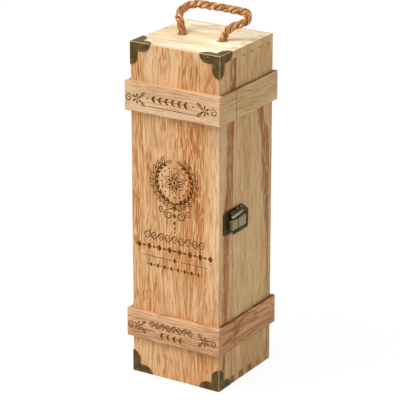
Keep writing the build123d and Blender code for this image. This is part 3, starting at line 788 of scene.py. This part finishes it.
def stray_fibres(line, finish):
    """Fibres that stand off the rope: each bends away along root + length * (t * lean + t squared * curl)
    from just under the skin, and is a four-sided tube that thins towards its end."""
    chance = np.random.default_rng(21)
    count, rings, around = 130, 7, 4
    bare = 24                   # points at each end of the line that no fibre starts from
    middle, _ = along_line(line, 0.0005)
    forward = unit(np.gradient(middle, axis=0))
    picks = chance.integers(bare, len(middle) - bare, count)
    way = unit(np.cross(forward[picks], chance.normal(size=(count, 3))))
    root = middle[picks] + way * ROPE_DIAMETER * 0.44
    outward = way * chance.uniform(0.2, 0.7, (count, 1))
    lean = unit(outward + forward[picks] * chance.normal(0, 1, (count, 1)))
    curl = chance.normal(0, 0.35, (count, 3))
    size = chance.uniform(0.0015, 0.0042, (count, 1, 1))
    t = np.linspace(0, 1, rings)[None, :, None]
    spine = root[:, None] + size * (t * lean[:, None] + t ** 2 * curl[:, None])
    ahead = unit(np.gradient(spine, axis=1))
    out = unit(np.cross(ahead, np.array([0.31, 0.52, 0.79])))
    across = np.cross(ahead, out)
    theta = np.linspace(0, 2 * math.pi, around, endpoint=False)[:, None]
    circle = np.cos(theta) * out[:, :, None] + np.sin(theta) * across[:, :, None]
    thick = 0.00007 * (1 - 0.6 * t)[..., None]
    skin = spine[:, :, None] + thick * circle
    place = np.zeros((rings, around, 3)) + np.array([0.0, 0.6, 0.2])
    strands = [(skin[k], place + k, np.ones((rings, around, 1))) for k in range(count)]
    rope_piece("rope_stray_fibres", strands, finish)


# -------------------------------- burnt ornament
# Strokes lie on a face: across to the right and up, in millimetres from the frame's origin. A stroke is
# its points and its width at each.
RIBBON_PROUD = 0.00003      # how far a stroke stands off the wood, in metres
RIBBON_STEP = 0.000002      # and how much further, for each of nine strokes in turn
RIBBON_DEPTH = 0.00015      # how far it goes into the wood


def stroke(points, width, thin=0.35):
    """A stroke that thins towards its ends: width * (thin + (1 - thin) * root of sine of its run)."""
    run = np.sqrt(np.sin(np.linspace(0, math.pi, len(points))))
    return np.asarray(points, float), width * (thin + (1 - thin) * run)


def rule(start, end, width):
    """A straight line."""
    return stroke(np.linspace(start, end, 12), width, thin=0.7)


def arc(middle, radius, start, end, width):
    """Part of a circle, from one angle to another in degrees."""
    turn = np.radians(np.linspace(start, end, max(8, int(abs(end - start) / 9))))
    return stroke(on_circle(middle, radius, turn), width, thin=0.8)


def scroll(middle, radius, start, turns, width):
    """A spiral that winds in: its radius shrinks evenly to a fifth while it turns."""
    t = np.linspace(0, 1, max(16, int(abs(turns) * 26)))
    turn = math.radians(start) + 2 * math.pi * turns * t
    return stroke(on_circle(middle, radius * (1 - 0.8 * t), turn), width)


def dot(middle, radius):
    """A round dot: a short stroke as wide as the circle's chord."""
    t = np.linspace(-0.98, 0.98, 9)
    points = np.stack([middle[0] + radius * t, np.full(9, middle[1])], -1)
    return points, 2 * radius * np.sqrt(1 - t ** 2)


def lozenge(middle, half_across, half_up):
    """A filled diamond: a level stroke whose width falls evenly from the middle."""
    t = np.linspace(-0.97, 0.97, 7)
    points = np.stack([middle[0] + half_across * t, np.full(7, middle[1])], -1)
    return points, 2 * half_up * (1 - np.abs(t))


def leaf(root, heading, length, breadth, width=0.8):
    """A leaf's two edges and its rib. The edges bow out by half the breadth * sine of (run to the power
    0.75, as half a turn)."""
    t = np.linspace(0, 1, 13)[:, None]
    forward = on_circle((0, 0), 1, math.radians(heading))
    aside = np.array([-forward[1], forward[0]])
    bow = aside * breadth / 2 * np.sin(math.pi * t ** 0.75)
    rib = np.array(root) + forward * length * t
    return [stroke(rib + bow, width), stroke(rib - bow, width), stroke(rib[:10], width * 0.8)]


def full_leaf(root, heading, length, breadth):
    """The same leaf burnt in solid: one stroke as wide as the leaf."""
    t = np.linspace(0.01, 0.99, 13)[:, None]
    rib = np.array(root) + on_circle((0, 0), 1, math.radians(heading)) * length * t
    return rib, breadth * np.sin(math.pi * t[:, 0] ** 0.75)


def mirrored(strokes, middle):
    """The strokes and their mirror image across an upright line."""
    return strokes + [(points * (-1, 1) + (2 * middle, 0), width) for points, width in strokes]


def blossom(middle, petals, inner, length, breadth, turn):
    """A flower of leaf-shaped petals round a ring and a dot."""
    strokes = [arc(middle, inner * 0.85, 0, 360, 0.8), dot(middle, inner * 0.45)]
    for k in range(petals):
        heading = turn + 360 * k / petals
        root = on_circle(middle, inner, math.radians(heading))
        strokes += leaf(root, heading, length, breadth)
        strokes.append(full_leaf(root, heading, length * 0.62, breadth * 0.36))
    return strokes


def wreath(middle, radius):
    """Two leafy sprays that rise from a knot at the bottom, with a berry beside each pair of leaves."""
    end = 66
    spray = [arc(middle, radius, -92, end, 1.4)]
    for k in range(9):
        angle = -74 + 15.5 * k
        turn = math.radians(angle)
        root = on_circle(middle, radius, turn)
        spray += leaf(root, angle + 50, 9.0, 4.6, 0.95)
        spray.append(full_leaf(root, angle + 130, 6.4, 3.2))
        spray.append(dot(on_circle(middle, radius + 3.4, turn - 0.09), 0.8))
    spray += leaf(on_circle(middle, radius, math.radians(end)), end + 90, 7.0, 3.2)
    return mirrored(spray, middle[0])


def emblem(middle):
    """The front's ornament: a flower in a wreath, with scrolls and a drop of lozenges below."""
    x, z = middle
    strokes = blossom(middle, 8, 3.6, 9.6, 5.8, 22.5)
    for k in range(16):
        strokes.append(dot(on_circle(middle, 15.4, math.radians(22.5 * k)), 0.9))
    strokes += wreath(middle, 22.0)
    hanging = leaf((x, z - 22.0), -28, 10.5, 6.4, 1.1)
    hanging.append(scroll((x + 7.2, z - 34.0), 5.4, 110, -1.5, 1.3))
    hanging.append(scroll((x + 15.5, z - 29.5), 3.8, 200, 1.3, 1.1))
    hanging.append(stroke([(x, z - 21), (x + 1.6, z - 25), (x + 4.4, z - 28.4), (x + 5.6, z - 29.3)], 0.9))
    strokes += mirrored(hanging, x)
    drops = ((27.5, 1.6, 2.6), (34.5, 2.2, 3.4), (42.0, 1.7, 2.6), (48.0, 1.1, 1.8))
    strokes += [lozenge((x, z - drop), half_across, half_up) for drop, half_across, half_up in drops]
    return strokes + [dot((x, z - 52.0), 0.8)]


def running_scroll(low, high, level, period, height):
    """A wave, level + height * sine, with a spiral in each of its bays and a dot across from it."""
    along = np.linspace(low, high, 90)
    wave = level + height * np.sin(2 * math.pi * (along - low) / period)
    strokes = [stroke(np.stack([along, wave], -1), 1.1, thin=0.7)]
    for k in range(int(round(2 * (high - low) / period))):
        x = low + period * (k / 2 + 0.25)
        up = 1 if k % 2 == 0 else -1
        strokes.append(scroll((x, level - up * height * 0.25), height * 0.95, 90 * up, 1.25 * up, 1.0))
        strokes.append(dot((x + period * 0.16, level + up * height * 1.2), 0.65))
    return strokes


def lozenge_chain(low, high, level, pitch, height):
    """Diamonds, each with a dot above and below, and a solid leaf between each and the next."""
    strokes = []
    count = int((high - low) / pitch)
    start = (low + high) / 2 - pitch * (count - 1) / 2
    for k in range(count):
        x = start + pitch * k
        strokes.append(lozenge((x, level), height * 0.38, height * 0.5))
        strokes += [dot((x, level + height * side), 0.6) for side in (0.75, -0.75)]
        if k < count - 1:
            strokes.append(full_leaf((x + pitch * 0.31, level), 0, pitch * 0.38, height * 0.3))
    return strokes


def leaf_row(low, high, level, pitch, size):
    """A level stem with pairs of solid leaves."""
    strokes = [rule((low, level), (high, level), 0.6)]
    for k in range(int((high - low) / pitch)):
        x = low + pitch * (k + 0.3)
        strokes += [full_leaf((x, level), tilt, size, size * 0.4) for tilt in (42, -42)]
    return strokes


def flourish(middle, size):
    """A small flower with a scroll on its left and two leaves on its right."""
    x, z = middle
    strokes = [arc(middle, size * 0.24, 0, 360, 0.8)]
    for heading in range(30, 390, 60):
        root = on_circle(middle, size * 0.36, math.radians(heading))
        strokes.append(full_leaf(root, heading, size * 0.72, size * 0.36))
    strokes.append(scroll((x - size * 1.75, z - size * 0.1), size * 0.75, 20, 1.4, 1.1))
    for side in (1, -1):
        strokes += leaf((x + size * 0.8, z + side * size * 0.6), side * 40, size, size * 0.5, 0.9)
    return strokes


def ornament(name, node, strokes, finish):
    """The strokes as thin ribbons, let into the face of this node: each is a closed strip as wide as its
    stroke, a few hundredths of a millimetre proud, so that strokes that cross don't share a surface."""
    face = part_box(node)[0].y
    skins = []
    for k, (points, width) in enumerate(strokes):
        ahead = unit(np.gradient(points, axis=0))
        aside = np.stack([ahead[:, 1], -ahead[:, 0]], -1) * width[:, None] / 2
        proud = face - RIBBON_PROUD - RIBBON_STEP * (k % 9)
        sunk = face + RIBBON_DEPTH
        corners = []
        for sign, depth in ((-1, proud), (1, proud), (1, sunk), (-1, sunk)):
            flat = (points + sign * aside) * MM
            corners.append(np.stack([flat[:, 0], np.full(len(points), depth), flat[:, 1]], -1))
        skins.append(np.stack(corners, 1))
    rows, faces = closed_tubes(skins)
    piece = new_piece(name, rows, faces, finish)
    piece.data.polygons.foreach_set("use_smooth", np.full(len(faces), False))
    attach(piece, "lid")


def burnt_ornaments(finish):
    """All the ornament on the lid: the front panel's and the two front battens'."""
    middle = -1.0
    divider = 130.6
    beads = 121.5
    front = emblem((middle, 213.0))
    front += running_scroll(-37, 35, 153.0, 16.0, 3.7)
    front += lozenge_chain(-49, 47, 141.0, 12.0, 7.8)
    front += [rule((-40, divider), (-8, divider), 0.65), rule((6, divider), (37, divider), 0.65),
              lozenge((middle, divider), 2.2, 2.6), dot((-5.8, divider), 0.8), dot((3.8, divider), 0.8)]
    front += [dot((x, beads), 0.85) for x in np.arange(-33, 35, 8.0)]
    front += [lozenge((x, beads), 1.9, 2.6) for x in np.arange(-29, 31, 8.0)]
    ornament("front_ornament", "front_panel", front, finish)
    stem = 297.5
    underline = 289.4
    upper = mirrored(flourish((-40.0, 295.5), 5.6), middle)
    upper += leaf_row(-25, 21, stem, 7.4, 5.8) + [dot((-28.0, stem), 0.9), dot((24.8, stem), 0.9)]
    upper.append(rule((-31, underline), (29, underline), 0.7))
    ornament("upper_batten_ornament", "upper_front_batten", upper, finish)
    lower = mirrored(flourish((-40.5, 54.0), 5.4), middle)
    lower += running_scroll(-28, 24, 58.8, 13.0, 2.9) + leaf_row(-17, 15, 48.6, 7.4, 5.2)
    ornament("lower_batten_ornament", "lower_front_batten", lower, finish)


# -------------------------------- dress the frame

FLAP_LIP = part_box("clasp_flap")[0].z / MM       # how high the flap's lower edge is, in mm

camera()
lamp("key", -35, 55, 2.2, 40.0, (1.0, 0.985, 0.96))
surroundings(0.62)
floor(0.6, 1.05, 0.9)

boards = board_woods()
battens = batten_woods()
guard_bronze = bronze("guard_bronze", (88, 66, 30), (236, 208, 152), 0.8)
clasp_bronze = bronze("clasp_bronze", (66, 50, 26), (196, 176, 134), 0.5, extra=clasp_painted_light)
# the flap's dark ground is painted shade as well
shaded_flap_bronze = bronze("shaded_flap_bronze", (42, 30, 12), (120, 106, 74), 0.3, metallic=0.0, extra=lip_highlight_and_shade)
pin_bronze = bronze("pin_bronze", (40, 29, 16), (120, 98, 62), 0.4)
hemp_yarn = hemp()

finish_of = {"front_panel": boards["front"], "back_panel": boards["back"]}
for end in ("top", "bottom"):
    finish_of[f"{end}_board"] = boards[end]
    finish_of[f"lid_{end}_rail"] = boards[end]
for side in ("left", "right"):
    finish_of[f"side_board_{side}"] = boards[side]
    finish_of[f"lid_side_rail_{side}"] = boards[side]
for level in ("upper", "lower"):
    finish_of[f"{level}_front_batten"] = battens[level, "front"]
    finish_of[f"{level}_back_batten"] = battens[level, "back"]
    for side in ("left", "right"):
        finish_of[f"{level}_side_batten_{side}"] = battens[level, "side"]
        finish_of[f"lid_{level}_side_batten_{side}"] = battens[level, "side"]
# The other nodes' finishes, by the first of these words that the node's name holds
finish_by_word = [("nails", pin_bronze), ("pin", pin_bronze), ("flap", shaded_flap_bronze),
                  ("guard", guard_bronze), ("rope", hemp_yarn), ("", clasp_bronze)]
for name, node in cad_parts.items():
    finish = finish_of.get(name) or next(own for word, own in finish_by_word if word in name)
    node.data.materials.clear()
    node.data.materials.append(finish)

rope_handle(hemp_yarn)
burnt_ornaments(scorch())

bpy.context.scene.view_settings.view_transform = "Standard"
